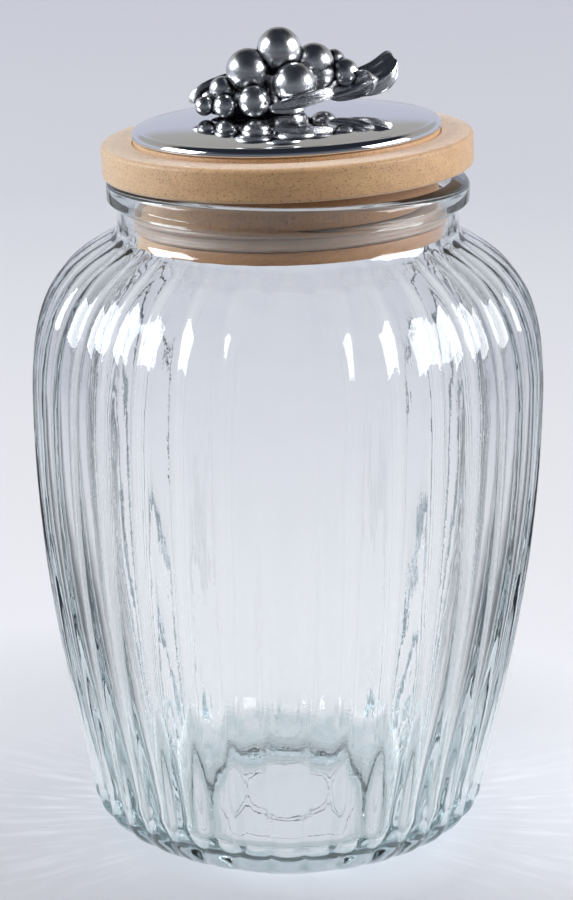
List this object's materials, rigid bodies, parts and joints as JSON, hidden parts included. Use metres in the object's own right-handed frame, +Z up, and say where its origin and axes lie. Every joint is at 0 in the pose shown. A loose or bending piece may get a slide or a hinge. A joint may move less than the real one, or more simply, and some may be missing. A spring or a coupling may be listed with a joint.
{
  "type": "glass canister",
  "caption": "Ribbed clear glass canister with a turned wooden plug lid, silicone gasket, polished metal disc and a cast grape-cluster knob.",
  "frame": {"origin": "centre of the jar's bearing ring, on the surface that the jar stands on", "axes": "+Z up along the jar's axis, -Y towards the front of the picture, +X to the right"},
  "size_m": [0.178, 0.178, 0.2884],
  "materials": {
    "clear_glass": "clear pressed soda-lime glass, faintly green where it is thick",
    "pale_wood": "fine-grained pale hardwood, sanded and satin lacquered",
    "silicone": "translucent off-white silicone",
    "polished_metal": "mirror polished",
    "antiqued_metal": "polished casting, darkened in its hollows",
    "steel": "zinc-plated"
  },
  "bodies": {
    "jar": {"glass_jar": "clear_glass"},
    "gasket": {"plug_gasket": "silicone"},
    "lid": {"lid_plate": "pale_wood", "lid_plug": "pale_wood", "lid_disc": "polished_metal", "grape_knob": "antiqued_metal", "knob_screw": "steel", "screw_washer": "steel"}
  },
  "joints": [
    {"name": "lid_lift", "type": "slide", "parent": "jar", "child": "gasket", "axis": [0, 0, 1], "range_m": [0, 0.06]},
    {"name": "lid_turn", "type": "hinge", "parent": "gasket", "child": "lid", "pos_m": [0, 0, 0.24039], "axis": [-0.0419, 0, 0.9991], "continuous": true}
  ]
}
